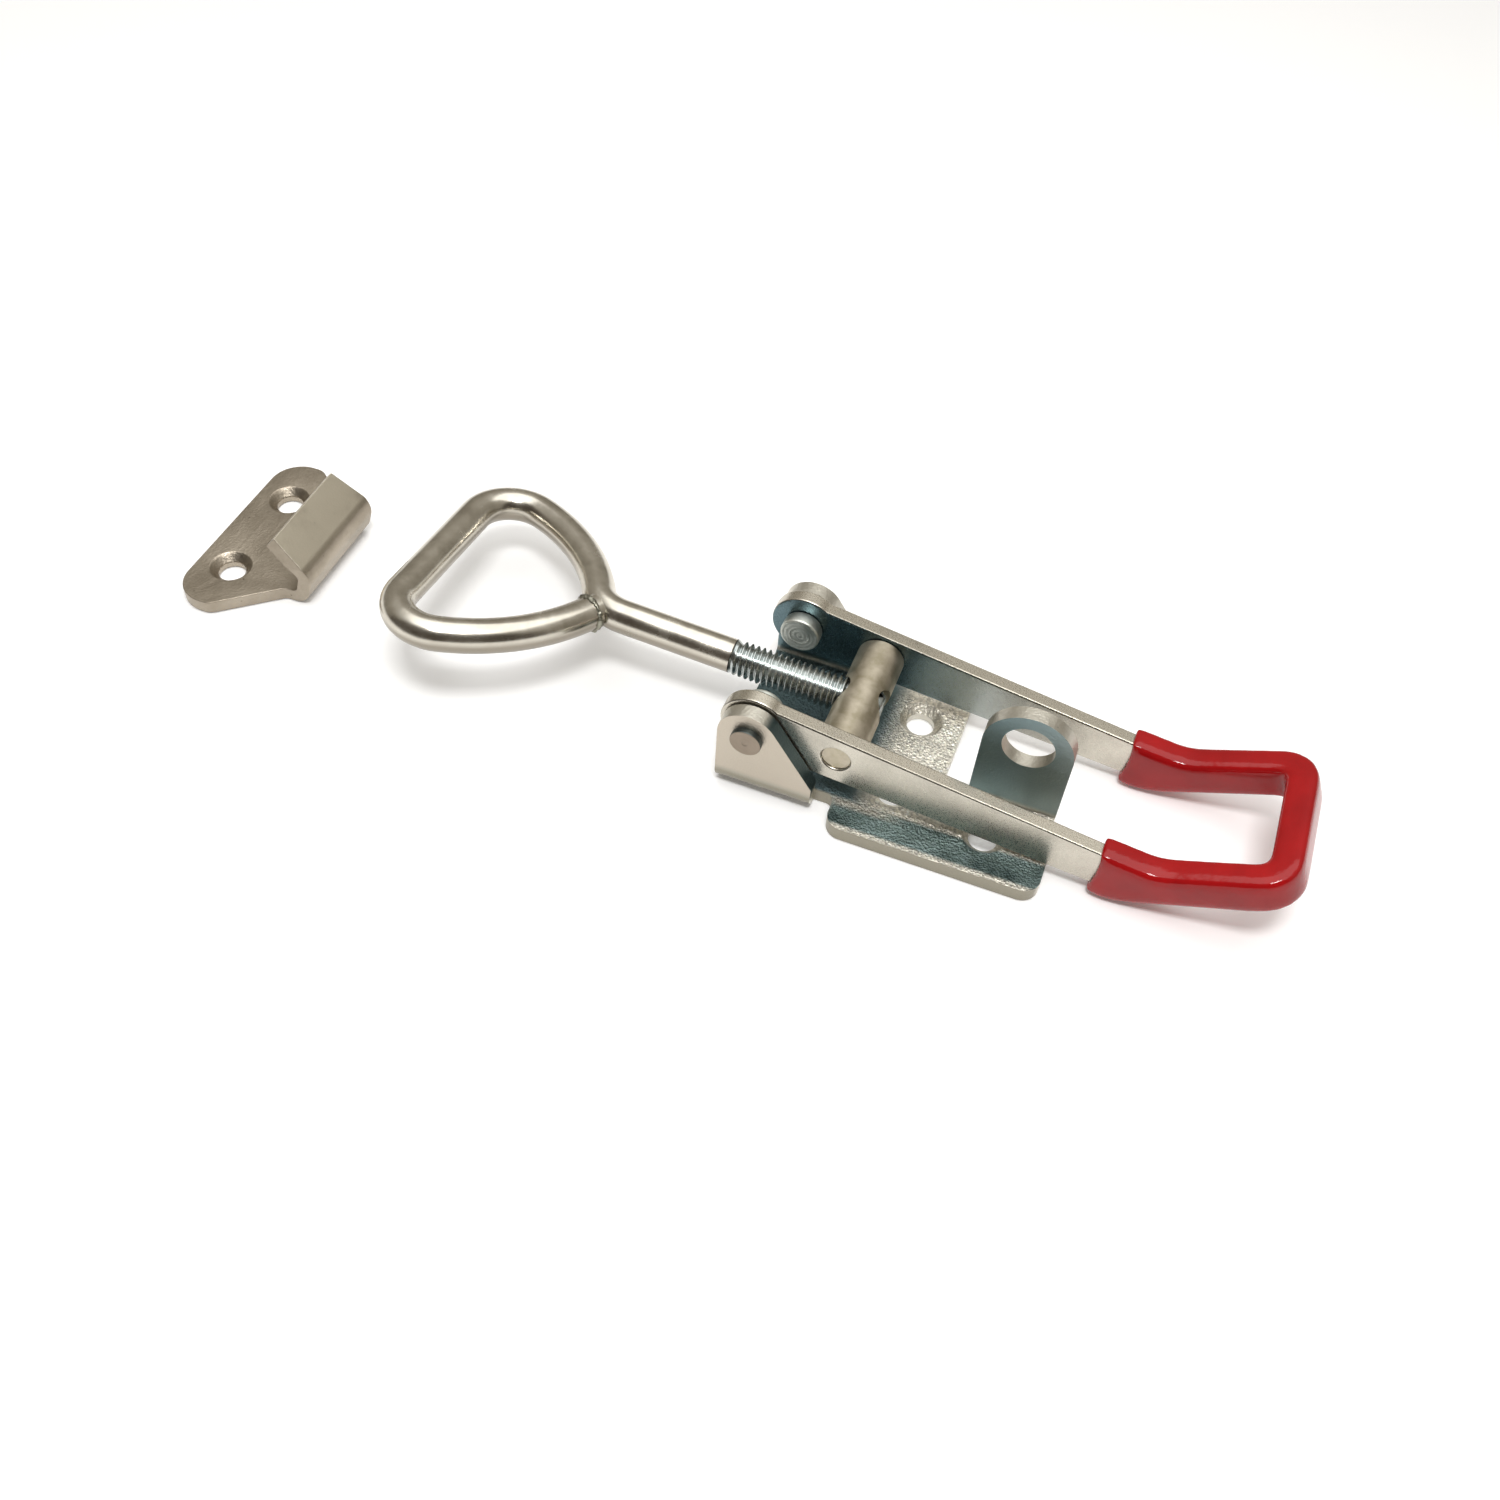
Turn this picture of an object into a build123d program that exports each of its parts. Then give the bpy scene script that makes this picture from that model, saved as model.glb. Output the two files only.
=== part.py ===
from build123d import *
from math import copysign, cos, radians, sin, tan
import os

# Adjustable over-centre toggle latch, closed, with its keeper lying apart.
# Frame: origin on the underside of the base, straight below the handle's pivot.
# +X runs towards the grip, +Y across, +Z up from the surface that the base is screwed to.

# ------------------------------------------------------------------ sizes, mm and degrees
# Stock
base_sheet = 2.5                # sheet of the base, its ears and its padlock lug
strip_thickness = 2.5           # flat strip that the handle is bent from
wire_diameter = 5.65            # drawn wire of the loop
thread_crest = 5.9              # rolled M6 thread, over its crests
keeper_sheet = 2.4              # sheet of the keeper

# Base plate
pivot_height = 12.8             # underside of the base to the handle's pivot
ear_spread = 31.5               # across the outer faces of the two ears
ear_radius = 4.95               # round head of an ear, about the pivot
ear_rear = 11.0                 # pivot to the ear's upright rear edge
ear_rear_height = 5.4           # top of that short upright edge
sheet_bend = 0.8                # inside radius of every fold in the base
neck_width = 25.8               # plate between the ears and the side flanges
neck_corner = 1.3               # rounding of the notch beside the neck
flange_front = 14.3             # pivot to the front of the side flanges
flange_width = 37.8             # across both side flanges
flange_corner = 2.8             # rounding of the flanges' outer corners
base_rear = 48.6                # pivot to the rear edge of the plate
slot_front = 29.4               # pivot to the front of the opening that the lug was cut from
slot_corner = 1.8               # rounding inside that opening
lug_face = 3.5                  # centre line to the lug's near face
lug_front = 33.5                # pivot to the lug's front edge
lug_width = 14.3                # lug, along the latch
lug_height = 22.9               # underside of the base to the top of the lug
eye_height = 16.5               # underside of the base to the centre of the padlock eye
eye_diameter = 8.3

# Countersunk screw holes
screw_hole = 4.6
screw_head = 7.2
front_hole_x = 22.4             # pivot to the two front holes
front_hole_spacing = 15.8       # between the two front holes
rear_hole_x = 38.2              # pivot to the rear hole
rear_hole_offset = 10.8         # centre line to the rear hole, on the lug's plate

# Pivot rivets
rivet_shank = 4.3
rivet_head = 6.6                # made head, inside the handle
rivet_head_height = 2.3
rivet_tail = 5.1                # peened end, outside the ear
rivet_tail_height = 1.15

# Handle
handle_head = 5.6               # round end of an arm, about the pivot
head_step_top = 0.7             # how far the head stands above the arm's top edge
head_step_bottom = 0.3          # and below its bottom edge
arm_drop_top = 8.55             # slope of the arm's top edge, down towards the grip
arm_drop_bottom = 5.55          # slope of its bottom edge
arm_length = 59.5               # pivot to the upward kick, along X
kick_radius = 8.0               # blend of that kick, in the plane of the strip
grip_rise = 24.0                # slope of the grip, up from the base
grip_length = 26.4              # kick to the outer face of the cross bar
grip_strip = 3.8                # width of the strip along the grip
strip_bend = 2.3                # inside radius of the handle's two corners
coating = 1.1                   # dipped vinyl over the grip
coating_start = 57.0            # pivot to the edge of the vinyl, along X

# Trunnion
trunnion_x = 13.5               # pivot to the trunnion, along the latch
trunnion_drop = 1.6             # trunnion below the pivot, in the closed latch
trunnion_diameter = 7.8
trunnion_pin = 4.6
trunnion_recess = 0.4           # end of a pin inside the arm's outer face

# Screwed rod and loop
rod_rise = 2.9                  # rod's slope in the closed latch, up towards the loop
loop_roll = 9.0                 # turn of the loop about the rod, near side up
rod_tail = 3.5                  # trunnion to the threaded end, inside the barrel
thread_end = 21.6               # trunnion to the run-out of the thread
neck_start = 41.2               # trunnion to the bend where the loop begins
neck_angle = 63.0               # how far the wire turns there
neck_radius = 6.5               # of that bend, to the middle of the wire
side_radius = 32.0              # bowed sides of the loop
shoulder_angle = 20.0           # wire's angle to the rod where side meets corner
corner_radius = 7.1             # tight corners beside the cross bar
end_short = 0.8                 # square cut of the welded end, short of the rod's axis
tail_chamfer = 0.6              # on the threaded end

# Keeper
keeper_front = 83.7             # pivot to the foot of the hook's outer face
keeper_offset = 2.8             # keeper's centre line from the latch's
keeper_length = 21.3            # back edge to the foot of the hook's outer face
keeper_width = 37.8
keeper_shoulder = 7.4           # length of the keeper's straight sides
keeper_corner = 5.6             # rounding of the two back corners
keeper_waist = 4.0              # foot of the hook to where the tapering sides end
keeper_fillet = 2.0             # where the tapering sides run into the hook's foot
hook_width = 20.8
hook_tip_width = 17.6
hook_bend = 1.3                 # inside radius of both folds of the hook
hook_flare = 16.0               # upright part of the hook leans outwards
hook_fold = 6.4                 # underside to the fold where the hook turns back, in mid sheet
hook_lean = 50.0                # lip's lean back from upright
hook_lip = 8.1                  # fold to the end of the lip
hook_taper_start = 8.0          # underside to where the lip starts to narrow
keeper_hole_spacing = 18.9
keeper_hole_inset = 6.0         # back edge to the holes

# Clearances
running = 0.06                  # radial, pin in a turning hole
riveted = 0.02                  # radial, rivet in the ear
thread_fit = 0.05               # radial, rod in the trunnion's tapped hole
ear_gap = 0.3                   # handle arm to ear
head_gap = 0.2                  # handle arm to a rivet's made head
trunnion_gap = 0.2              # handle arm to the barrel of the trunnion

# ------------------------------------------------------------------ places worked out from them
ear_outer = ear_spread / 2
ear_inner = ear_outer - base_sheet
arm_outer = ear_inner - ear_gap
arm_inner = arm_outer - strip_thickness
arm_middle = (arm_outer + arm_inner) / 2
head_face = arm_inner - head_gap
reach = 400.0                   # longer than any piece, for blanks that are trimmed later

side_view = Plane(origin=(0, 0, 0), x_dir=(1, 0, 0), z_dir=(0, -1, 0))
cross_view = Plane(origin=(0, 0, 0), x_dir=(0, 1, 0), z_dir=(1, 0, 0))
trunnion_height = pivot_height - trunnion_drop


def through_side(outline):
    """Extrude an outline drawn in X and Z across the whole latch."""
    return extrude(side_view * outline, amount=reach / 2, both=True)


def across(diameter, y_from, y_to, x=0.0, z=0.0):
    """Round bar along Y between two stations."""
    bar = Rot(90, 0, 0) * Cylinder(diameter / 2, abs(y_to - y_from))
    return Pos(x, (y_from + y_to) / 2, z) * bar


def folded(path, thickness, width):
    """Strip of sheet that follows a path in its own plane."""
    start = Plane(origin=path @ 0, x_dir=path.normal(), z_dir=path % 0)
    return sweep(start * Rectangle(width, thickness), path=path)


def screw_cut(x, y, sheet):
    """Cutter for a countersunk hole, its cone opening at the sheet's top face."""
    depth = (screw_head - screw_hole) / 2
    shaft = Pos(x, y, sheet / 2) * Cylinder(screw_hole / 2, 3 * sheet)
    cone = Cone(screw_hole / 2, screw_head / 2, depth, align=(Align.CENTER, Align.CENTER, Align.MAX))
    return shaft + Pos(x, y, sheet) * cone


def tab(centre_x, centre_z, radius, front, rear, rear_height):
    """Outline of an upright tab: round head, upright front edge, rear edge down to the base."""
    head = Pos(centre_x, centre_z) * Circle(radius)
    foot = Polyline((front, centre_z), (front, 0), (rear, 0), (rear, rear_height))
    return make_hull(head.edges() + foot.edges())


# ------------------------------------------------------------------ base plate
def base_plate():
    fold = sheet_bend + base_sheet / 2
    middle = base_sheet / 2

    # Front channel: the floor and both ears in one fold, trimmed to the ears' outline.
    ear_top = pivot_height + ear_radius
    ear_line = ear_outer - middle
    channel_path = cross_view * FilletPolyline(
        (-ear_line, ear_top + 1), (-ear_line, middle), (ear_line, middle), (ear_line, ear_top + 1),
        radius=fold)
    channel = folded(channel_path, base_sheet, ear_rear + ear_radius)
    channel = Pos((ear_rear - ear_radius) / 2, 0, 0) * channel
    channel &= through_side(tab(0, pivot_height, ear_radius, -ear_radius, ear_rear, ear_rear_height))

    # Plate behind the ears: neck, side flanges, and the opening that the lug was cut from.
    fold_line = -lug_face - sheet_bend
    neck = Rectangle(flange_front, neck_width, align=(Align.MIN, Align.CENTER))
    flanges = Pos(flange_front, 0) * Rectangle(
        base_rear - flange_front, flange_width, align=(Align.MIN, Align.CENTER))
    flanges = fillet(flanges.vertices(), flange_corner)
    plan = neck + flanges
    inner_corners = plan.vertices().filter_by(lambda v: abs(v.X - flange_front) < 0.01 and
                                              abs(abs(v.Y) - neck_width / 2) < 0.01)
    plan = fillet(inner_corners, neck_corner)
    opening = Pos(slot_front, fold_line) * Rectangle(
        base_rear - slot_front + 1, flange_width, align=(Align.MIN, Align.MIN))
    opening = fillet(opening.vertices().group_by(Axis.X)[0], slot_corner)
    plate = extrude(plan - opening, amount=base_sheet)

    # Padlock lug: folded up out of the plate, its plane parallel to the ears.
    lug_line = -lug_face + middle
    lug_path = cross_view * FilletPolyline(
        (fold_line - 3 * base_sheet, middle), (lug_line, middle), (lug_line, lug_height + 1), radius=fold)
    lug_centre = lug_front + lug_width / 2
    lug = Pos(lug_centre, 0, 0) * folded(lug_path, base_sheet, lug_width)
    lug &= through_side(tab(lug_centre, lug_height - lug_width / 2, lug_width / 2,
                            lug_front, lug_front + lug_width, lug_height - lug_width / 2))

    body = channel + plate + lug
    body -= across(rivet_shank + 2 * riveted, -reach, reach, 0, pivot_height)
    body -= across(eye_diameter, -lug_face - 1, -lug_face + base_sheet + 1, lug_centre, eye_height)
    for y in (-front_hole_spacing / 2, front_hole_spacing / 2):
        body -= screw_cut(front_hole_x, y, base_sheet)
    body -= screw_cut(rear_hole_x, -rear_hole_offset, base_sheet)
    return body


# ------------------------------------------------------------------ pivot rivets
def pivot_rivet(side):
    """Made head inside the arm, shank through arm and ear, peened end outside; side is -1 or 1."""
    outline = Polyline(
        (0, head_face - rivet_head_height),
        (rivet_head / 2, head_face - rivet_head_height),
        (rivet_head / 2, head_face),
        (rivet_shank / 2, head_face),
        (rivet_shank / 2, ear_outer),
        (rivet_tail / 2, ear_outer),
        (rivet_tail / 2, ear_outer + rivet_tail_height),
        (0, ear_outer + rivet_tail_height),
        close=True)
    rivet = Pos(0, 0, pivot_height) * revolve(make_face(outline), axis=Axis.Y)
    return rivet if side > 0 else mirror(rivet, about=Plane.XZ)


# ------------------------------------------------------------------ handle and its vinyl grip
grip_plane = Plane(
    origin=(0, 0, pivot_height),
    x_dir=(cos(radians(grip_rise)), 0, sin(radians(grip_rise))),
    z_dir=(-sin(radians(grip_rise)), 0, cos(radians(grip_rise))))


def handle_outline():
    """Side view of the strip about the pivot: round head, tapering arm, kick and grip."""
    along = Vector(cos(radians(grip_rise)), sin(radians(grip_rise)))
    up = Vector(-sin(radians(grip_rise)), cos(radians(grip_rise)))
    top = handle_head - head_step_top
    bottom = handle_head - head_step_bottom
    kick = Vector(arm_length, -bottom - arm_length * tan(radians(arm_drop_bottom)))
    end = kick + along * (grip_length + strip_thickness)
    grip_top = kick + up * grip_strip
    # where the arm's top edge meets the grip's top edge
    gap = top - grip_top.Y + grip_top.X * tan(radians(grip_rise))
    meet_x = gap / (tan(radians(grip_rise)) + tan(radians(arm_drop_top)))
    meet = Vector(meet_x, top - meet_x * tan(radians(arm_drop_top)))
    end_top = end + up * grip_strip
    arm = Polyline((0, top), (0, -bottom), (kick.X, kick.Y), (end.X, end.Y),
                   (end_top.X, end_top.Y), (meet.X, meet.Y), close=True)
    arm = make_face(arm)
    bends = arm.vertices().filter_by(
        lambda v: min((Vector(v) - kick).length, (Vector(v) - meet).length) < 0.01)
    return fillet(bends, kick_radius) + Circle(handle_head)


def bent_strip(thickness):
    """U of strip on edge, lying in the slope of the grip and taller than the handle."""
    kick_z = -(handle_head - head_step_bottom) - arm_length * tan(radians(arm_drop_bottom))
    kick_along = arm_length * cos(radians(grip_rise)) + kick_z * sin(radians(grip_rise))
    cross_bar = kick_along + grip_length - strip_thickness / 2
    path = grip_plane * FilletPolyline(
        (-2 * handle_head, -arm_middle), (cross_bar, -arm_middle), (cross_bar, arm_middle),
        (-2 * handle_head, arm_middle), radius=strip_bend + strip_thickness / 2)
    return folded(path, thickness, reach / 2)


def handle():
    outline = Pos(0, pivot_height) * handle_outline()
    body = bent_strip(strip_thickness) & through_side(outline)
    body -= across(rivet_shank + 2 * running, -reach, reach, 0, pivot_height)
    body -= across(trunnion_pin + 2 * running, -reach, reach, trunnion_x, trunnion_height)
    return body


def handle_grip():
    """Vinyl dipped over the cross bar and both kicks, an even coat on every face."""
    outline = offset(handle_outline(), amount=coating)
    coat = bent_strip(strip_thickness + 2 * coating) & through_side(Pos(0, pivot_height) * outline)
    bare = bent_strip(strip_thickness) & through_side(Pos(0, pivot_height) * handle_outline())
    edge_slope = (arm_drop_top + arm_drop_bottom) / 2
    dipped = Pos(coating_start, 0, pivot_height) * Rot(0, edge_slope, 0) * Box(
        reach, reach, reach, align=(Align.MIN, Align.CENTER, Align.CENTER))
    return (coat - bare) & dipped


# ------------------------------------------------------------------ trunnion
rod_plane = Plane(
    origin=(trunnion_x, 0, trunnion_height),
    x_dir=(-cos(radians(rod_rise)), 0, sin(radians(rod_rise))),
    z_dir=(sin(radians(rod_rise)), 0, cos(radians(rod_rise))))


def trunnion():
    """Turned cross bar: barrel between the arms, reduced ends in the arms' holes."""
    barrel_end = arm_inner - trunnion_gap
    pin_end = arm_outer - trunnion_recess
    body = across(trunnion_diameter, -barrel_end, barrel_end, trunnion_x, trunnion_height)
    body += across(trunnion_pin, -pin_end, pin_end, trunnion_x, trunnion_height)
    tapped = Rot(0, 90, 0) * Cylinder(thread_crest / 2 + thread_fit, 2 * trunnion_diameter)
    return body - rod_plane * tapped


# ------------------------------------------------------------------ screwed rod and loop
def wire_run(edge, turn=0):
    """One straight length of the round wire, or one bent through the angle turn in the loop's plane."""
    if turn == 0:
        return extrude(Plane(origin=edge @ 0, z_dir=edge % 0) * Circle(wire_diameter / 2), amount=edge.length)
    inwards = edge.arc_center - edge @ 0
    start = Plane(origin=edge @ 0, x_dir=inwards, z_dir=edge % 0)
    bend_axis = Axis(edge.arc_center, (0, 0, copysign(1, turn)))
    return revolve(start * Circle(wire_diameter / 2), bend_axis, abs(turn))


def loop_rod():
    """One wire: threaded shank, neck, pear-shaped loop, and the free end welded to the neck."""
    side_turn = neck_angle - shoulder_angle
    corner_turn = 90 + shoulder_angle
    shank = Line((thread_end, 0), (neck_start, 0))
    neck = JernArc(shank @ 1, shank % 1, neck_radius, -neck_angle)
    side = JernArc(neck @ 1, neck % 1, side_radius, side_turn)
    corner = JernArc(side @ 1, side % 1, corner_radius, corner_turn)
    cross_bar = Line(corner @ 1, ((corner @ 1).X, -(corner @ 1).Y))
    near_corner = JernArc(cross_bar @ 1, cross_bar % 1, corner_radius, corner_turn)
    near_side = JernArc(near_corner @ 1, near_corner % 1, side_radius, side_turn)
    to_neck = (near_side @ 1).Y / sin(radians(neck_angle)) - end_short
    free_end = Line(near_side @ 1, near_side @ 1 + (near_side % 1) * to_neck)
    wire = wire_run(shank) + wire_run(neck, -neck_angle) + wire_run(side, side_turn)
    wire += wire_run(corner, corner_turn) + wire_run(cross_bar) + wire_run(near_corner, corner_turn)
    wire += wire_run(near_side, side_turn) + wire_run(free_end)
    thread = Rot(0, 90, 0) * Cylinder(thread_crest / 2, thread_end + rod_tail)
    thread = chamfer(thread.edges().group_by(Axis.X)[0], tail_chamfer)
    thread = Pos((thread_end - rod_tail) / 2, 0, 0) * thread
    return rod_plane * Rot(loop_roll, 0, 0) * (wire + thread)


# ------------------------------------------------------------------ keeper
def keeper():
    """Strike plate with two countersunk holes, its front edge folded up and back as a hook."""
    back = -keeper_front - keeper_length
    middle = keeper_sheet / 2
    half = keeper_width / 2
    root = hook_width / 2
    waist = -keeper_front - keeper_waist
    foot_end = waist - keeper_sheet
    flare = radians(hook_flare)
    lean = radians(hook_lean)
    foot = -keeper_front + middle * tan(flare) - middle / cos(flare)
    bend_start = foot - (hook_bend + middle) * tan((radians(90) - flare) / 2)
    outline = Polyline((back, -half), (back + keeper_shoulder, -half), (waist, -root),
                       (bend_start, -root), (bend_start, root), (waist, root),
                       (back + keeper_shoulder, half), (back, half), close=True)
    plan = make_face(outline)
    plan = fillet(plan.vertices().group_by(Axis.X)[0], keeper_corner)
    shoulders = plan.vertices().filter_by(lambda v: abs(v.X - back - keeper_shoulder) < 0.01)
    plan = fillet(shoulders, keeper_corner / 2)
    waists = plan.vertices().filter_by(lambda v: abs(v.X - waist) < 0.01)
    plan = fillet(waists, keeper_fillet)
    plate = extrude(plan, amount=keeper_sheet)

    # Hook: a strip folded up at the front edge, then back over the plate.
    fold = foot + (hook_fold - middle) * tan(flare)
    path = side_view * FilletPolyline(
        (foot_end, middle), (foot, middle), (fold, hook_fold),
        (fold - hook_lip * sin(lean), hook_fold + hook_lip * cos(lean)), radius=hook_bend + middle)
    hook = folded(path, keeper_sheet, hook_width)
    top = hook_fold + hook_lip
    tip = hook_tip_width / 2
    trim = make_face(Polyline((-root, 0), (root, 0), (root, hook_taper_start), (tip, top),
                              (-tip, top), (-root, hook_taper_start), close=True))
    hook &= extrude(cross_view * trim, amount=reach, both=True)

    body = plate + hook
    for y in (-keeper_hole_spacing / 2, keeper_hole_spacing / 2):
        body -= screw_cut(back + keeper_hole_inset, y, keeper_sheet)
    return Pos(0, keeper_offset, 0) * body


# ------------------------------------------------------------------ write the pieces
pieces = {
    "base_plate": base_plate(),
    "pivot_rivet_near": pivot_rivet(-1),
    "pivot_rivet_far": pivot_rivet(1),
    "handle": handle(),
    "handle_grip": handle_grip(),
    "trunnion": trunnion(),
    "loop_rod": loop_rod(),
    "keeper": keeper(),
}
os.makedirs("parts", exist_ok=True)
for name, piece in pieces.items():
    export_step(piece, f"parts/{name}.step")
    box = piece.bounding_box()
    print(name, round(piece.volume, 1), "mm3", box.min, box.max)
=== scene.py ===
from math import cos, hypot, pi, radians, sin

import bmesh
import bpy
from mathutils import Matrix, Vector, noise


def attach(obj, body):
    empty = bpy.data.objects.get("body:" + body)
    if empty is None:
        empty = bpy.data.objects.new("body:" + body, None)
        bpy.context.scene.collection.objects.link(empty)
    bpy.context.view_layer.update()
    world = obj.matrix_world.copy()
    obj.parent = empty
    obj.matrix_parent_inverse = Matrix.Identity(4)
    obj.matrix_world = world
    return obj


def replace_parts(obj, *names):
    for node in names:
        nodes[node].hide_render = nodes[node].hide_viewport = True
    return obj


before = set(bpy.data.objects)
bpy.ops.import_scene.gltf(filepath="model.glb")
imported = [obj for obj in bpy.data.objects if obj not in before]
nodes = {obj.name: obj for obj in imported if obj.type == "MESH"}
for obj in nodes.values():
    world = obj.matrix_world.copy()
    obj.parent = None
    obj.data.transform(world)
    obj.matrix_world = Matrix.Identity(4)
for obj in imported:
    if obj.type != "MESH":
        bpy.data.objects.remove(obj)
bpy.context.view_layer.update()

scene = bpy.context.scene

# Sizes are in millimetres, in the frame of the CAD. A mesh is scaled to metres when it is finished.
MM = 0.001
PIVOT = Vector((0, 0, 12.8))          # handle's pivot, and the axis of both rivets
TRUNNION = Vector((13.5, 0, 11.2))    # axis of the cross bar that the rod is screwed into
RISE = radians(2.9)                   # rod's slope, up towards the loop
ROLL = radians(9.0)                   # turn of the loop about the rod
WIRE = 2.825                          # radius of the drawn wire


# ---------------------------------------------------------------- colours and shader nodes
def ink(code):
    """sRGB hex to a linear colour."""
    steps = [int(code[i:i + 2], 16) / 255 for i in (1, 3, 5)]
    return [s / 12.92 if s <= 0.04045 else ((s + 0.055) / 1.055) ** 2.4 for s in steps] + [1.0]


def add(tree, kind, links=None, values=None, **settings):
    """One shader node, with its settings, its values by socket and its links by socket."""
    made = tree.nodes.new(kind)
    for name, value in settings.items():
        setattr(made, name, value)
    for socket, value in (values or {}).items():
        made.inputs[socket].default_value = value
    for socket, source in (links or {}).items():
        tree.links.new(source, made.inputs[socket])
    return made


def blank(name):
    """A new material with an empty node tree."""
    material = bpy.data.materials.new(name)
    material.use_nodes = True
    material.node_tree.nodes.clear()
    return material, material.node_tree


def close_material(tree, shader):
    """Joins the shader to the material's output."""
    add(tree, "ShaderNodeOutputMaterial", {"Surface": shader.outputs["BSDF"]})


def ramp(tree, factor, stops):
    """Colour ramp through hex stops."""
    made = add(tree, "ShaderNodeValToRGB", {"Fac": factor})
    band = made.color_ramp
    band.interpolation = "LINEAR"
    while len(band.elements) < len(stops):
        band.elements.new(0.5)
    for element, (place, code) in zip(band.elements, stops):
        element.position = place
        element.color = ink(code)
    return made.outputs["Color"]


# ---------------------------------------------------------------- materials
# Zinc-plated mild steel, cut and folded cold. The plating is clear-passivated warm grey; the blue-grey
# inside the folds is painted shade. Pressed plate carries a coarse grain, with painted glints where it faces
# up.
# light, mid: tones of the plating. deep: painted shade inside the channel, fading over shade_span mm from
# shade_from.
# glint: strength of the grain tone and painted glints. edge: brightness kept under the painted dark line on a
# rolled corner.
# folded: the base, with painted shade and reflections by region. crown: painted highlight on upward faces
# above crown_from mm.
def zinc_sheet(name, light, mid, deep, grain_mm, grain_depth, rough, glint, edge, shade_from, shade_span,
               folded=False, crown=None, crown_from=0):
    material, tree = blank(name)
    place = add(tree, "ShaderNodeTexCoord")
    here = place.outputs["Object"]
    split = add(tree, "ShaderNodeSeparateXYZ", {"Vector": here})
    facing = add(tree, "ShaderNodeSeparateXYZ", {"Vector": place.outputs["Normal"]})
    x, y, z = (split.outputs[axis] for axis in "XYZ")
    to_near, to_end, to_top = facing.outputs["Y"], facing.outputs["X"], facing.outputs["Z"]

    def mask(source, start, end, unit=MM):
        """0 to 1 while the source runs from start to end, in mm, or with unit 1 as part of a unit normal."""
        return add(tree, "ShaderNodeMapRange", {"Value": source},
                   {"From Min": start * unit, "From Max": end * unit},
                   interpolation_type="SMOOTHSTEP").outputs["Result"]

    def both(*masks):
        """Product of masks."""
        result = masks[0]
        for other in masks[1:]:
            result = add(tree, "ShaderNodeMath", {0: result, 1: other}, operation="MULTIPLY").outputs[0]
        return result

    def tinted(colour, where, code):
        """The colour, turned to a hex tone where the mask is 1."""
        return add(tree, "ShaderNodeMix", {0: where, 6: colour}, {7: ink(code)},
                   data_type="RGBA").outputs[2]

    cloud = add(tree, "ShaderNodeTexNoise", {"Vector": here},
                {"Scale": 1 / (9 * MM), "Detail": 4.0, "Roughness": 0.6})
    crystal = add(tree, "ShaderNodeTexVoronoi", {"Vector": here},
                  {"Scale": 1 / (grain_mm * MM), "Randomness": 1.0})
    pits = add(tree, "ShaderNodeTexNoise", {"Vector": here},
               {"Scale": 1 / (0.5 * grain_mm * MM), "Detail": 3.0, "Roughness": 0.65})
    nicks = add(tree, "ShaderNodeTexVoronoi", {"Vector": here}, {"Scale": 1 / (3.4 * MM), "Randomness": 1.0})
    # the plate's own upper face, where the coarse grain shows, with painted glints
    level = both(mask(to_top, 0.45, 0.9, 1), mask(z, 4.4, 3.2))
    tone = ramp(tree, cloud.outputs["Fac"], [(0.30, mid), (0.62, light)])
    # grain tone on every face, with painted glints where the plate faces up
    spread = add(tree, "ShaderNodeMath", {0: level}, {1: glint, 2: 0.08}, operation="MULTIPLY_ADD")
    chance = add(tree, "ShaderNodeMath", {0: crystal.outputs["Color"]}, {1: 0.22}, operation="SUBTRACT")
    grain_and_painted_glints = add(tree, "ShaderNodeMath", {0: chance.outputs[0], 1: spread.outputs[0]}, {2: 1.0},
                 operation="MULTIPLY_ADD")
    # a few dark nicks
    spots = add(tree, "ShaderNodeMapRange", {"Value": nicks.outputs["Distance"]},
                {"From Min": 0.03, "From Max": 0.07, "To Min": 0.5, "To Max": 1.0})
    # painted dark reflection along the rolled corner between a top edge and the face that looks at the near
    # side
    painted_corner_line = both(mask(to_near, -0.25, -0.45, 1), mask(to_top, 0.25, 0.45, 1))
    line = add(tree, "ShaderNodeMapRange", {"Value": painted_corner_line}, {"To Min": 1.0, "To Max": edge})
    shades = both(grain_and_painted_glints.outputs[0], spots.outputs["Result"], line.outputs["Result"])
    colour = add(tree, "ShaderNodeVectorMath", {0: tone, 1: shades}, operation="MULTIPLY").outputs[0]
    # painted shade: faces inside the channel that look at the near side take the deeper colour
    painted_channel_shade = both(mask(to_near, -0.3, -0.9, 1), mask(y, -9, -5), mask(x, shade_from + shade_span, shade_from),
                  mask(z, 2.6, 4.0))
    colour = tinted(colour, painted_channel_shade, deep)
    if crown:
        # painted highlight: edges that face up are drawn brighter, in patches
        painted_top_highlight = both(mask(to_top, 0.5, 0.9, 1), mask(z, crown_from, crown_from + 0.6),
                      mask(cloud.outputs["Fac"], 0.1, 0.5, 1))
        colour = tinted(colour, painted_top_highlight, crown)
    if folded:
        # painted shade and reflections on the top of the side flange beside the arm, in patches
        flange = both(mask(y, -18.5, -17.6), mask(y, -12.5, -13.4), mask(to_top, 0.5, 0.95, 1),
                      mask(x, 12, 15))
        painted_flange_reflection = ramp(tree, cloud.outputs["Fac"], [(0.36, "#3a4846"), (0.60, "#7d8f8d")])
        colour = add(tree, "ShaderNodeMix", {0: flange, 6: colour, 7: painted_flange_reflection}, data_type="RGBA").outputs[2]
        # painted pale reflection on that flange, near its front
        painted_pale_reflection = both(mask(y, -15.0, -13.6), mask(y, -12.5, -13.4), mask(x, 27, 20), mask(x, 13, 15))
        colour = tinted(colour, painted_pale_reflection, mid)
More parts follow.
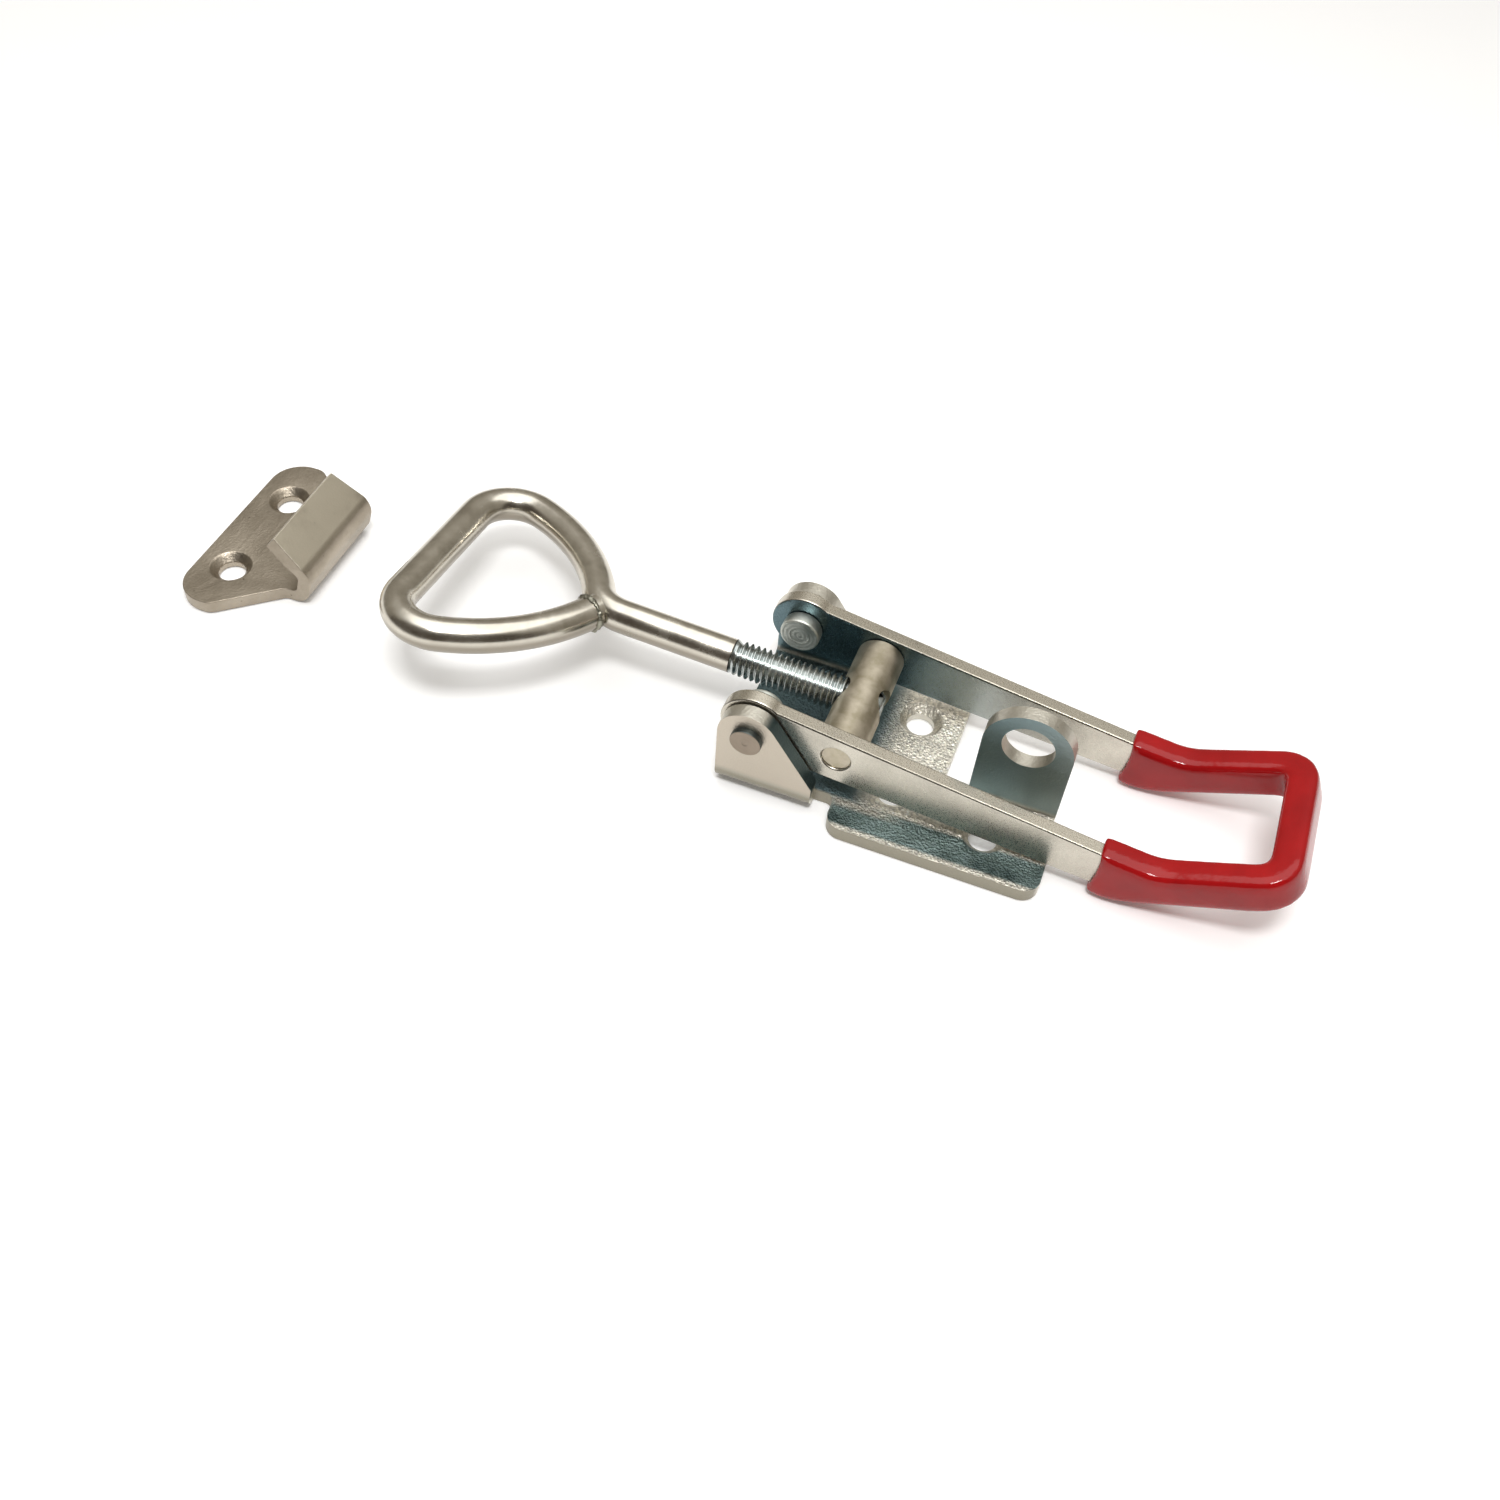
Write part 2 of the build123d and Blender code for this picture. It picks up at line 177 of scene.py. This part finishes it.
        # painted shade on the plate under the rod, between the ears
        painted_well_shade = both(level, mask(x, 21, 16), mask(y, -13.4, -12.4), mask(y, 16, 13))
        colour = tinted(colour, painted_well_shade, "#5f7174")
        # painted shade on the cut slope of the near ear
        painted_slope_shade = both(mask(to_end, 0.4, 0.7, 1), mask(y, -13.0, -13.3), mask(z, 3, 5))
        colour = tinted(colour, painted_slope_shade, "#56686b")
        # painted shade on the outer face of the near ear
        outer = both(mask(z, 3.0, 4.5), mask(to_near, -0.5, -0.9, 1), mask(y, -13, -14))
        colour = tinted(colour, outer, "#b9b0a2")
        # painted shade on the cut front edge of the side flange
        painted_brim_shade = both(mask(y, -18.1, -18.6), mask(z, 3.0, 2.6), mask(to_near, -0.2, -0.6, 1))
        colour = tinted(colour, painted_brim_shade, "#8f8e84")
        # painted shade on the fold under the near ear
        painted_fold_shade = both(mask(z, 4.8, 3.0), mask(to_near, -0.2, -0.6, 1), mask(y, -12, -13))
        colour = tinted(colour, painted_fold_shade, "#928d7f")
    dull = add(tree, "ShaderNodeMapRange", {"Value": pits.outputs["Fac"]},
               {"From Min": 0.3, "From Max": 0.7, "To Min": rough - 0.06, "To Max": rough + 0.10})
    height = add(tree, "ShaderNodeMath", {0: crystal.outputs["Distance"], 1: pits.outputs["Fac"]},
                 operation="ADD")
    coarse = add(tree, "ShaderNodeMath", {0: level}, {1: 0.75, 2: 0.25}, operation="MULTIPLY_ADD")
    bump = add(tree, "ShaderNodeBump", {"Height": height.outputs[0], "Strength": coarse.outputs[0]},
               {"Distance": grain_depth * MM})
    shader = add(tree, "ShaderNodeBsdfPrincipled",
                 {"Base Color": colour, "Roughness": dull.outputs["Result"],
                  "Normal": bump.outputs["Normal"]},
                 {"Metallic": 1.0})
    close_material(tree, shader)
    return material


# Turned mild steel, zinc-plated after turning: fine rings round the axis are left by the tool, drawn
# coarser than they are so that they show. tip: tone of a riveted end. side: painted shade on the ring round
# it.
def turned_zinc(name, light, mid, axis_point, ring_mm, ring_depth, rough, tip=None, side=None):
    material, tree = blank(name)
    place = add(tree, "ShaderNodeTexCoord")
    centred = add(tree, "ShaderNodeMapping", {"Vector": place.outputs["Object"]},
                  {"Location": [-c * MM for c in axis_point]})
    flat = add(tree, "ShaderNodeVectorMath", {0: centred.outputs[0]}, {1: (1.0, 0.0, 1.0)},
               operation="MULTIPLY")
    reach = add(tree, "ShaderNodeVectorMath", {0: flat.outputs[0]}, operation="LENGTH")
    turns = add(tree, "ShaderNodeMath", {0: reach.outputs["Value"]}, {1: 2 * pi / (ring_mm * MM)},
                operation="MULTIPLY")
    wave = add(tree, "ShaderNodeMath", {0: turns.outputs[0]}, operation="SINE")
    cloud = add(tree, "ShaderNodeTexNoise", {"Vector": place.outputs["Object"]},
                {"Scale": 1 / (2.5 * MM), "Detail": 4.0, "Roughness": 0.6})
    height = add(tree, "ShaderNodeMath", {0: wave.outputs[0], 1: cloud.outputs["Fac"]}, operation="ADD")
    bump = add(tree, "ShaderNodeBump", {"Height": height.outputs[0]},
               {"Strength": 0.5, "Distance": ring_depth * MM})
    dull = add(tree, "ShaderNodeMapRange", {"Value": cloud.outputs["Fac"]},
               {"From Min": 0.3, "From Max": 0.7, "To Min": rough - 0.05, "To Max": rough + 0.1})
    colour = ramp(tree, cloud.outputs["Fac"], [(0.35, mid), (0.65, light)])
    if tip:
        # the end that was riveted over outside the plate, and painted shade on the ring round it
        split = add(tree, "ShaderNodeSeparateXYZ", {"Vector": place.outputs["Object"]})
        facing = add(tree, "ShaderNodeSeparateXYZ", {"Vector": place.outputs["Normal"]})
        out = add(tree, "ShaderNodeMath", {0: split.outputs["Y"]}, operation="ABSOLUTE")
        level = add(tree, "ShaderNodeMath", {0: facing.outputs["Y"]}, operation="ABSOLUTE")
        outer = add(tree, "ShaderNodeMapRange", {"Value": out.outputs[0]},
                    {"From Min": 15.5 * MM, "From Max": 15.6 * MM})
        flank = add(tree, "ShaderNodeMapRange", {"Value": level.outputs[0]},
                    {"From Min": 0.9, "From Max": 0.6})
        ring = add(tree, "ShaderNodeMath", {0: outer.outputs[0], 1: flank.outputs[0]}, operation="MULTIPLY")
        for where, code in ((outer, tip), (ring, side)):
            colour = add(tree, "ShaderNodeMix", {0: where.outputs[0], 6: colour}, {7: ink(code)},
                         data_type="RGBA").outputs[2]
    shader = add(tree, "ShaderNodeBsdfPrincipled",
                 {"Base Color": colour, "Roughness": dull.outputs["Result"],
                  "Normal": bump.outputs["Normal"]},
                 {"Metallic": 1.0})
    close_material(tree, shader)
    return material


# Bright zinc on cold-drawn wire: smooth along the wire, with faint die lines and small dull spots.
def drawn_zinc(name, light, mid, rough, under=None):
    material, tree = blank(name)
    place = add(tree, "ShaderNodeTexCoord")
    cloud = add(tree, "ShaderNodeTexNoise", {"Vector": place.outputs["Object"]},
                {"Scale": 1 / (6 * MM), "Detail": 5.0, "Roughness": 0.6})
    lines = add(tree, "ShaderNodeTexNoise", {"Vector": place.outputs["Object"]},
                {"Scale": 1 / (0.6 * MM), "Detail": 2.0, "Roughness": 0.5})
    dull = add(tree, "ShaderNodeMapRange", {"Value": cloud.outputs["Fac"]},
               {"From Min": 0.35, "From Max": 0.7, "To Min": rough - 0.04, "To Max": rough + 0.08})
    bump = add(tree, "ShaderNodeBump", {"Height": lines.outputs["Fac"]},
               {"Strength": 0.25, "Distance": 0.02 * MM})
    colour = ramp(tree, cloud.outputs["Fac"], [(0.35, mid), (0.65, light)])
    if under:
        # painted shade: the underside is drawn darker than the top
        facing = add(tree, "ShaderNodeSeparateXYZ", {"Vector": place.outputs["Normal"]})
        low = add(tree, "ShaderNodeMapRange", {"Value": facing.outputs["Z"]},
                  {"From Min": 0.40, "From Max": -0.05}, interpolation_type="SMOOTHSTEP")
        colour = add(tree, "ShaderNodeMix", {0: low.outputs["Result"], 6: colour}, {7: ink(under)},
                     data_type="RGBA").outputs[2]
    shader = add(tree, "ShaderNodeBsdfPrincipled",
                 {"Base Color": colour, "Roughness": dull.outputs["Result"],
                  "Normal": bump.outputs["Normal"]},
                 {"Metallic": 1.0})
    close_material(tree, shader)
    return material


# Plastisol vinyl, dipped hot and cured: a thick glossy skin with a slight orange peel.
def dipped_vinyl(name, light, deep):
    material, tree = blank(name)
    place = add(tree, "ShaderNodeTexCoord")
    cloud = add(tree, "ShaderNodeTexNoise", {"Vector": place.outputs["Object"]},
                {"Scale": 1 / (7 * MM), "Detail": 3.0, "Roughness": 0.5})
    peel = add(tree, "ShaderNodeTexNoise", {"Vector": place.outputs["Object"]},
               {"Scale": 1 / (0.9 * MM), "Detail": 2.0, "Roughness": 0.5})
    bump = add(tree, "ShaderNodeBump", {"Height": peel.outputs["Fac"]},
               {"Strength": 0.4, "Distance": 0.07 * MM})
    shader = add(tree, "ShaderNodeBsdfPrincipled",
                 {"Base Color": ramp(tree, cloud.outputs["Fac"], [(0.3, deep), (0.7, light)]),
                  "Normal": bump.outputs["Normal"]},
                 {"Roughness": 0.10, "IOR": 1.5, "Specular IOR Level": 0.36})
    close_material(tree, shader)
    return material


plate_zinc = zinc_sheet("zinc_plated_folded_sheet", "#d3cfc3", "#bdb9ae", "#7b9095", grain_mm=0.42,
                        grain_depth=0.16, rough=0.34, glint=1.1, edge=0.8, shade_from=30, shade_span=60,
                        folded=True)
strip_zinc = zinc_sheet("zinc_plated_strip", "#c4bfb3", "#b0aba0", "#6c8187", grain_mm=0.30,
                        grain_depth=0.03, rough=0.27, glint=0.15, edge=0.35, shade_from=14, shade_span=36,
                        crown="#cfc9bb")
keeper_zinc = zinc_sheet("zinc_plated_pressed_sheet", "#aba192", "#958b7c", "#6d6756", grain_mm=0.45,
                         grain_depth=0.03, rough=0.38, glint=0.05, edge=0.9, shade_from=-200, shade_span=10,
                         crown="#cfc8b6", crown_from=3.6)
wire_zinc = drawn_zinc("bright_zinc_drawn_wire", "#d9d4c8", "#c0baae", 0.22, under="#938c80")
thread_zinc = drawn_zinc("bright_zinc_rolled_thread", "#c8cdcb", "#a3aaa9", 0.24)
weld_steel = drawn_zinc("plated_weld_bead", "#a5a394", "#4c4a42", 0.36)
trunnion_zinc = turned_zinc("zinc_plated_turned_bar", "#c9c0ae", "#aea58f", TRUNNION, ring_mm=0.9,
                            ring_depth=0.012, rough=0.42)
rivet_zinc = turned_zinc("zinc_plated_rivet_steel", "#dcdfd8", "#bcc0b8", PIVOT, ring_mm=0.7,
                         ring_depth=0.02, rough=0.44, tip="#918577", side="#59605e")
red_vinyl = dipped_vinyl("dipped_red_vinyl", "#a61215", "#900e11")


# ---------------------------------------------------------------- helpers for the pieces
def finish_piece(bm, name, body, material, smooth_angle=35):
    """Turns a bmesh in millimetres into a piece that rides on its body, smooth up to an angle."""
    bmesh.ops.scale(bm, vec=(MM, MM, MM), verts=bm.verts)
    mesh = bpy.data.meshes.new(name)
    bm.to_mesh(mesh)
    bm.free()
    mesh.polygons.foreach_set("use_smooth", [True] * len(mesh.polygons))
    mesh.set_sharp_from_angle(angle=radians(smooth_angle))
    piece = bpy.data.objects.new(name, mesh)
    scene.collection.objects.link(piece)
    mesh.materials.append(material)
    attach(piece, body)
    return piece


def eased(node_name, name, body, material, radius):
    """Copy of a solid with its cut edges broken, as tumbling leaves them."""
    bm = bmesh.new()
    bm.from_mesh(nodes[node_name].data)
    bmesh.ops.scale(bm, vec=(1 / MM,) * 3, verts=bm.verts)
    bmesh.ops.remove_doubles(bm, verts=bm.verts, dist=0.002)
    bmesh.ops.dissolve_limit(bm, angle_limit=radians(0.4), verts=bm.verts, edges=bm.edges)
    piece = finish_piece(bm, name, body, material)
    edge = piece.modifiers.new("broken edges", "BEVEL")
    edge.width = radius * MM
    edge.segments = 3
    edge.limit_method = "ANGLE"
    edge.angle_limit = radians(40)
    edge.use_clamp_overlap = True
    edge.harden_normals = True
    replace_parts(piece, node_name)


# ---------------------------------------------------------------- folded sheet, strip and turned bar
eased("base_plate", "base_folded_sheet", "base", plate_zinc, 0.28)
eased("handle", "handle_bent_strip", "handle", strip_zinc, 0.35)
eased("trunnion", "trunnion_bar", "trunnion", trunnion_zinc, 0.25)
eased("keeper", "keeper_pressed_plate", "base", keeper_zinc, 0.45)


# ---------------------------------------------------------------- pivot rivets
# radius and distance from the latch's middle plane, from the made head's face to the peened end
RIVET_PROFILE = [
    (0.0, 8.0), (1.55, 8.0), (1.62, 7.94), (1.7, 7.94), (2.9, 7.94), (2.96, 7.94), (3.12, 7.98), (3.24, 8.08),
    (3.30, 8.25), (3.30, 8.35), (3.30, 9.9), (3.18, 10.25), (2.15, 10.25), (2.15, 15.75), (2.52, 15.75),
    (2.55, 15.9), (2.55, 16.6), (2.55, 16.68), (2.50, 16.80), (2.40, 16.85), (2.34, 16.85), (0.5, 16.85),
    (0.44, 16.80), (0.38, 16.78), (0.0, 16.78)]


def rivet(side, name, node_name):
    """Made head with a turned face, shank, and an end peened over with a punch mark."""
    bm = bmesh.new()
    outline = [bm.verts.new((r, side * y, 0)) for r, y in RIVET_PROFILE]
    edges = [bm.edges.new(pair) for pair in zip(outline, outline[1:])]
    bmesh.ops.spin(bm, geom=outline + edges, cent=(0, 0, 0), axis=(0, 1, 0), angle=2 * pi, steps=64,
                   use_merge=True)
    bmesh.ops.remove_doubles(bm, verts=bm.verts, dist=0.001)
    bmesh.ops.recalc_face_normals(bm, faces=bm.faces)
    bmesh.ops.translate(bm, vec=PIVOT, verts=bm.verts)
    piece = finish_piece(bm, name, "base", rivet_zinc, 35)
    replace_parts(piece, node_name)


rivet(-1, "near_pivot_rivet", "pivot_rivet_near")
rivet(1, "far_pivot_rivet", "pivot_rivet_far")


# ---------------------------------------------------------------- vinyl grip
DIP_EDGE = 1.3         # the visible edge lies this much nearer the pivot than the solid's
DIP_CURVE = 1.5        # how strongly that edge curves back along the lower side
DIP_SAG = 0.9          # vinyl that ran to the lower side
DIP_OUT = 0.3          # allowance for smoothing, on the end of the grip
DIP_SIDE = 0.2         # and on its sides
RIM_REACH = 58         # faces nearer the pivot than this are the rim of the dip
RIM_CUTS = 12          # levels that the rim is cut into, so that it can curve
SKIN_VOXEL = 0.28
SKIN_PASSES = 130      # smoothing passes, for corners of about 1.5 mm


def grip():
    """Vinyl skin: the solid's form with the soft corners and thick lower edge that dipping leaves."""
    bm = bmesh.new()
    bm.from_mesh(nodes["handle_grip"].data)
    bmesh.ops.scale(bm, vec=(1 / MM,) * 3, verts=bm.verts)
    bmesh.ops.remove_doubles(bm, verts=bm.verts, dist=0.002)
    # the edge of the dip is curved, and hangs back along the lower side
    def rim():
        return {v for f in bm.faces if f.normal.x < -0.9 and f.calc_center_median().x < RIM_REACH
                for v in f.verts}

    low, high = min(v.co.z for v in rim()), max(v.co.z for v in rim())
    for step in range(1, RIM_CUTS):
        everything = list(bm.verts) + list(bm.edges) + list(bm.faces)
        bmesh.ops.bisect_plane(bm, geom=everything, plane_co=(0, 0, low + (high - low) * step / RIM_CUTS),
                               plane_no=(0, 0, 1))
    for v in rim():
        down = (high - v.co.z) / (high - low)
        v.co.x += DIP_CURVE * down * (1.5 - down) - DIP_EDGE
    # the vinyl ran down before it set, and the corner smoothing below takes a little off each side
    bm.normal_update()
    for v in bm.verts:
        v.co += Vector((max(v.normal.x, 0) * DIP_OUT, v.normal.y * DIP_SIDE, min(v.normal.z, 0) * DIP_SAG))
    piece = finish_piece(bm, "vinyl_grip", "handle", red_vinyl, 180)
    skin = piece.modifiers.new("even skin", "REMESH")
    skin.mode = "VOXEL"
    skin.voxel_size = SKIN_VOXEL * MM
    skin.use_smooth_shade = True
    soft = piece.modifiers.new("soft corners", "SMOOTH")
    soft.factor = 0.5
    soft.iterations = SKIN_PASSES
    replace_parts(piece, "handle_grip")


grip()


# ---------------------------------------------------------------- loop, neck and threaded rod
along = Vector((-cos(RISE), 0, sin(RISE)))
upward = Vector((sin(RISE), 0, cos(RISE)))
sideways = upward.cross(along)
rod_frame = Matrix((along, sideways, upward)).transposed().to_4x4()
rod_frame.translation = TRUNNION
rod_frame = rod_frame @ Matrix.Rotation(ROLL, 4, "X")


class Wire:
    """A wire formed in its own plane: each length or bend carries the open end further."""

    def __init__(self, start, radius, rings=28):
        self.bm = bmesh.new()
        ring = bmesh.ops.create_circle(self.bm, radius=radius, segments=rings)["verts"]
        bmesh.ops.transform(self.bm, matrix=Matrix.Translation(start) @ Matrix.Rotation(pi / 2, 4, "Y"),
                            verts=ring)
        self.end = ring
        self.point = Vector(start)
        self.heading = 0.0

    def edges(self):
        inside = set(self.end)
        return [e for e in self.bm.edges if e.verts[0] in inside and e.verts[1] in inside]

    def run(self, length, steps=1):
        for _ in range(steps):
            made = bmesh.ops.extrude_edge_only(self.bm, edges=self.edges())["geom"]
            self.end = [v for v in made if isinstance(v, bmesh.types.BMVert)]
            step = Vector((cos(self.heading), sin(self.heading), 0)) * length / steps
            bmesh.ops.translate(self.bm, vec=step, verts=self.end)
            self.point += step

    def bend(self, angle, radius, steps):
        turn = radians(angle)
        hand = 1 if angle > 0 else -1
        centre = self.point + Vector((-sin(self.heading), cos(self.heading), 0)) * radius * hand
        made = bmesh.ops.spin(self.bm, geom=self.end + self.edges(), cent=centre, axis=(0, 0, 1),
                              angle=turn, steps=steps, use_merge=False)["geom_last"]
        self.end = [v for v in made if isinstance(v, bmesh.types.BMVert)]
        arm = self.point - centre
        self.point = centre + Matrix.Rotation(turn, 3, "Z") @ arm
        self.heading += turn

    def close_end(self):
        bmesh.ops.contextual_create(self.bm, geom=self.end)


# lengths along the rod from the trunnion's axis, then each bend's angle and radius
TAIL = -3.5                # threaded end, inside the bar
THREAD_END = 21.6
NECK_START = 41.2
NECK_BEND = (-63.0, 6.5)
SIDE_BOW = (43.0, 32.0)
SHOULDER = (110.0, 7.1)
END_SHORT = 0.8            # the free end stops this much short of the rod's axis

loop = Wire((THREAD_END + 0.3, 0, 0), WIRE)
loop.run(NECK_START - THREAD_END - 0.3, 6)
loop.bend(*NECK_BEND, steps=12)
loop.bend(*SIDE_BOW, steps=18)
loop.bend(*SHOULDER, steps=22)
loop.run(2 * abs(loop.point.y), 12)
loop.bend(*SHOULDER, steps=22)
loop.bend(*SIDE_BOW, steps=18)
loop.run(-loop.point.y / sin(loop.heading) - END_SHORT, 3)
weld_point = loop.point.copy()
weld_heading = loop.heading
loop.close_end()
bmesh.ops.recalc_face_normals(loop.bm, faces=loop.bm.faces)
bmesh.ops.transform(loop.bm, matrix=rod_frame, verts=loop.bm.verts)
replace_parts(finish_piece(loop.bm, "loop_wire", "loop", wire_zinc, 60), "loop_rod")

PITCH_MM, CREST, ROOT = 1.0, 2.95, 2.36     # rolled M6 thread: pitch, and radius over crests and roots
PER_TURN = 40                               # steps of the winding in one turn
CORE = ROOT - 0.05                          # solid core inside the thread
CORE_TIP = 1.9                              # and its chamfered end
FLANK = [(0.0, ROOT + 0.02), (0.12, ROOT), (0.24, ROOT + 0.03), (0.52, CREST - 0.06), (0.60, CREST),
         (0.70, CREST), (0.78, CREST - 0.06), (1.0, ROOT + 0.02)]
RUN_OUT = 0.9                               # length over which the thread fades into the wire
RUN_OUT_RADIUS = 2.86


def thread():
    """One pitch of the flank's profile wound along the rod, on a solid core."""
    bm = bmesh.new()
    start = TAIL + 0.15
    line = [bm.verts.new((start + u * PITCH_MM, 0, r)) for u, r in FLANK]
    edges = [bm.edges.new(pair) for pair in zip(line, line[1:])]
    turns = int(THREAD_END - start)
    bmesh.ops.spin(bm, geom=line + edges, cent=(0, 0, 0), axis=(1, 0, 0), dvec=(PITCH_MM / PER_TURN, 0, 0),
                   angle=2 * pi * turns, steps=turns * PER_TURN, use_merge=False)
    bmesh.ops.remove_doubles(bm, verts=bm.verts, dist=0.003)
    for v in bm.verts:
        # the first turn is chamfered and the last ones run out into the plain wire
        reach = hypot(v.co.y, v.co.z)
        chamfer = min(CREST, 2.15 + (v.co.x - TAIL) * 0.9)
        fade = min(max((v.co.x - THREAD_END + RUN_OUT) / RUN_OUT, 0.0), 1.0)
        wanted = min(reach, chamfer)
        wanted = wanted + (RUN_OUT_RADIUS - wanted) * fade
        v.co.y *= wanted / reach
        v.co.z *= wanted / reach
    core = Wire((TAIL, 0, 0), CORE_TIP, 40)
    core.run(0.35)
    bmesh.ops.scale(core.bm, vec=(1, CORE / CORE_TIP, CORE / CORE_TIP), verts=core.end)
    core.run(THREAD_END - TAIL - 1.1, 4)
    core.run(RUN_OUT)
    bmesh.ops.scale(core.bm, vec=(1, WIRE / CORE, WIRE / CORE), verts=core.end)
    bmesh.ops.holes_fill(core.bm, edges=[e for e in core.bm.edges if e.is_boundary], sides=60)
    shell = bpy.data.meshes.new("thread_core")
    core.bm.to_mesh(shell)
    core.bm.free()
    bm.from_mesh(shell)
    bpy.data.meshes.remove(shell)
    bmesh.ops.recalc_face_normals(bm, faces=bm.faces)
    bmesh.ops.transform(bm, matrix=rod_frame, verts=bm.verts)
    finish_piece(bm, "rolled_thread", "loop", thread_zinc, 60)


thread()


BEAD = 0.46                # radius of the weld bead
BEAD_SUNK = 0.12           # its middle lies this far inside the wire's surface
BEAD_BACK = 1.5            # and this far back from the free end


def weld_bead():
    """Lumpy bead round the wire where the loop's free end meets the neck."""
    bm = bmesh.new()
    ring = bmesh.ops.create_circle(bm, radius=BEAD, segments=12)["verts"]
    on_edge = Matrix.Translation((WIRE - BEAD_SUNK, 0, 0)) @ Matrix.Rotation(pi / 2, 4, "X")
    bmesh.ops.transform(bm, matrix=on_edge, verts=ring)
    bmesh.ops.spin(bm, geom=ring + list(bm.edges), cent=(0, 0, 0), axis=(0, 0, 1), angle=2 * pi, steps=96,
                   use_merge=True)
    bmesh.ops.remove_doubles(bm, verts=bm.verts, dist=0.001)
    for v in bm.verts:
        lump = noise.noise(v.co * 1.3) * 0.22 + noise.noise(v.co * 3.4) * 0.3 + 0.02
        v.co += v.co.normalized() * lump
        v.co.z += noise.noise(v.co * 1.1 + Vector((5, 0, 0))) * 0.35
    heading = Vector((cos(weld_heading), sin(weld_heading), 0))
    back = weld_point - heading * BEAD_BACK
    turn = Vector((0, 0, 1)).rotation_difference(heading).to_matrix().to_4x4()
    bmesh.ops.transform(bm, matrix=rod_frame @ Matrix.Translation(back) @ turn, verts=bm.verts)
    bmesh.ops.recalc_face_normals(bm, faces=bm.faces)
    finish_piece(bm, "neck_weld_bead", "loop", weld_steel, 80)


weld_bead()


# ---------------------------------------------------------------- floor
FLOOR_HALF = 6.0           # metres
FLOOR_DROP = 0.0002        # metres below the base, so that the two never share a plane
PAPER_LIFT = 0.11

bm = bmesh.new()
bmesh.ops.create_grid(bm, x_segments=1, y_segments=1, size=FLOOR_HALF)
floor_mesh = bpy.data.meshes.new("floor")
bm.to_mesh(floor_mesh)
bm.free()
floor = bpy.data.objects.new("floor", floor_mesh)
floor.location.z = -FLOOR_DROP
scene.collection.objects.link(floor)
white_floor, tree = blank("white_sweep_paper")
# a small lift for rays that see the paper itself, so that it stays white away from the lamps
rays = add(tree, "ShaderNodeLightPath")
seen = add(tree, "ShaderNodeMath", {0: rays.outputs["Is Camera Ray"], 1: rays.outputs["Is Glossy Ray"]},
           operation="MAXIMUM")
seen = add(tree, "ShaderNodeMath", {0: seen.outputs[0], 1: rays.outputs["Is Transmission Ray"]},
           operation="MAXIMUM")
lift = add(tree, "ShaderNodeMath", {0: seen.outputs[0]}, {1: PAPER_LIFT}, operation="MULTIPLY")
floor_shader = add(tree, "ShaderNodeBsdfPrincipled", {"Emission Strength": lift.outputs[0]},
                   {"Base Color": ink("#fbfbfb"), "Roughness": 0.9, "Emission Color": ink("#ffffff")})
close_material(tree, floor_shader)
floor_mesh.materials.append(white_floor)


# ---------------------------------------------------------------- room and lamps
# Warm grey walls, paler towards the ceiling, and dark behind the camera.
world = bpy.data.worlds.new("studio")
scene.world = world
world.use_nodes = True
tree = world.node_tree
tree.nodes.clear()
where = add(tree, "ShaderNodeTexCoord")
split = add(tree, "ShaderNodeSeparateXYZ", {"Vector": where.outputs["Generated"]})
room = ramp(tree, split.outputs["Z"],
            [(0.0, "#8d887e"), (0.5, "#a09a8f"), (0.75, "#c4c0b8"), (1.0, "#dfdfdd")])
behind_camera = add(tree, "ShaderNodeMapRange", {"Value": split.outputs["Y"]},
                    {"From Min": -0.45, "From Max": -0.15, "To Min": 1.0, "To Max": 0.0},
                    interpolation_type="SMOOTHSTEP")
dim = add(tree, "ShaderNodeMix", {0: behind_camera.outputs["Result"], 6: room}, {7: ink("#544d45")},
          data_type="RGBA")
light = add(tree, "ShaderNodeBackground", {"Color": dim.outputs[2]}, {"Strength": 1.0})
add(tree, "ShaderNodeOutputWorld", {"Surface": light.outputs[0]})


def softbox(name, place, size, watts):
    """White rectangular lamp aimed at the origin, in metres and watts."""
    lamp = bpy.data.lights.new(name, "AREA")
    lamp.shape = "RECTANGLE"
    lamp.size, lamp.size_y = size
    lamp.energy = watts
    item = bpy.data.objects.new(name, lamp)
    item.location = place
    item.rotation_mode = "QUATERNION"
    item.rotation_quaternion = (-Vector(place)).to_track_quat("-Z", "Y")
    scene.collection.objects.link(item)


softbox("ceiling_softbox", (0.0, 0.06, 0.52), (0.62, 0.56), 1.5)
softbox("front_window", (0.06, -0.20, 0.58), (0.18, 0.10), 2.0)


# ---------------------------------------------------------------- camera
CAMERA_PLACE = Vector((44.181, -159.673, 191.971))
YAW, PITCH, TILT = radians(16.841), radians(50.367), radians(5.126)
FRAME_PX, FOCAL_PX = 1500, 1530.17      # side of the square frame, and focal length in the same unit
SENSOR = 36.0

sight = Vector((-sin(YAW) * cos(PITCH), cos(YAW) * cos(PITCH), -sin(PITCH)))
right = Vector((cos(YAW), sin(YAW), 0))
up = right.cross(sight)
turned_right = right * cos(TILT) + up * sin(TILT)
turned_up = up * cos(TILT) - right * sin(TILT)
lens = bpy.data.cameras.new("camera")
lens.sensor_width = SENSOR
lens.lens = FOCAL_PX * SENSOR / FRAME_PX
lens.clip_start = 0.01
camera = bpy.data.objects.new("camera", lens)
pose = Matrix((turned_right, turned_up, -sight)).transposed().to_4x4()
pose.translation = CAMERA_PLACE * MM
camera.matrix_world = pose
scene.collection.objects.link(camera)
scene.camera = camera

scene.view_settings.view_transform = "Standard"
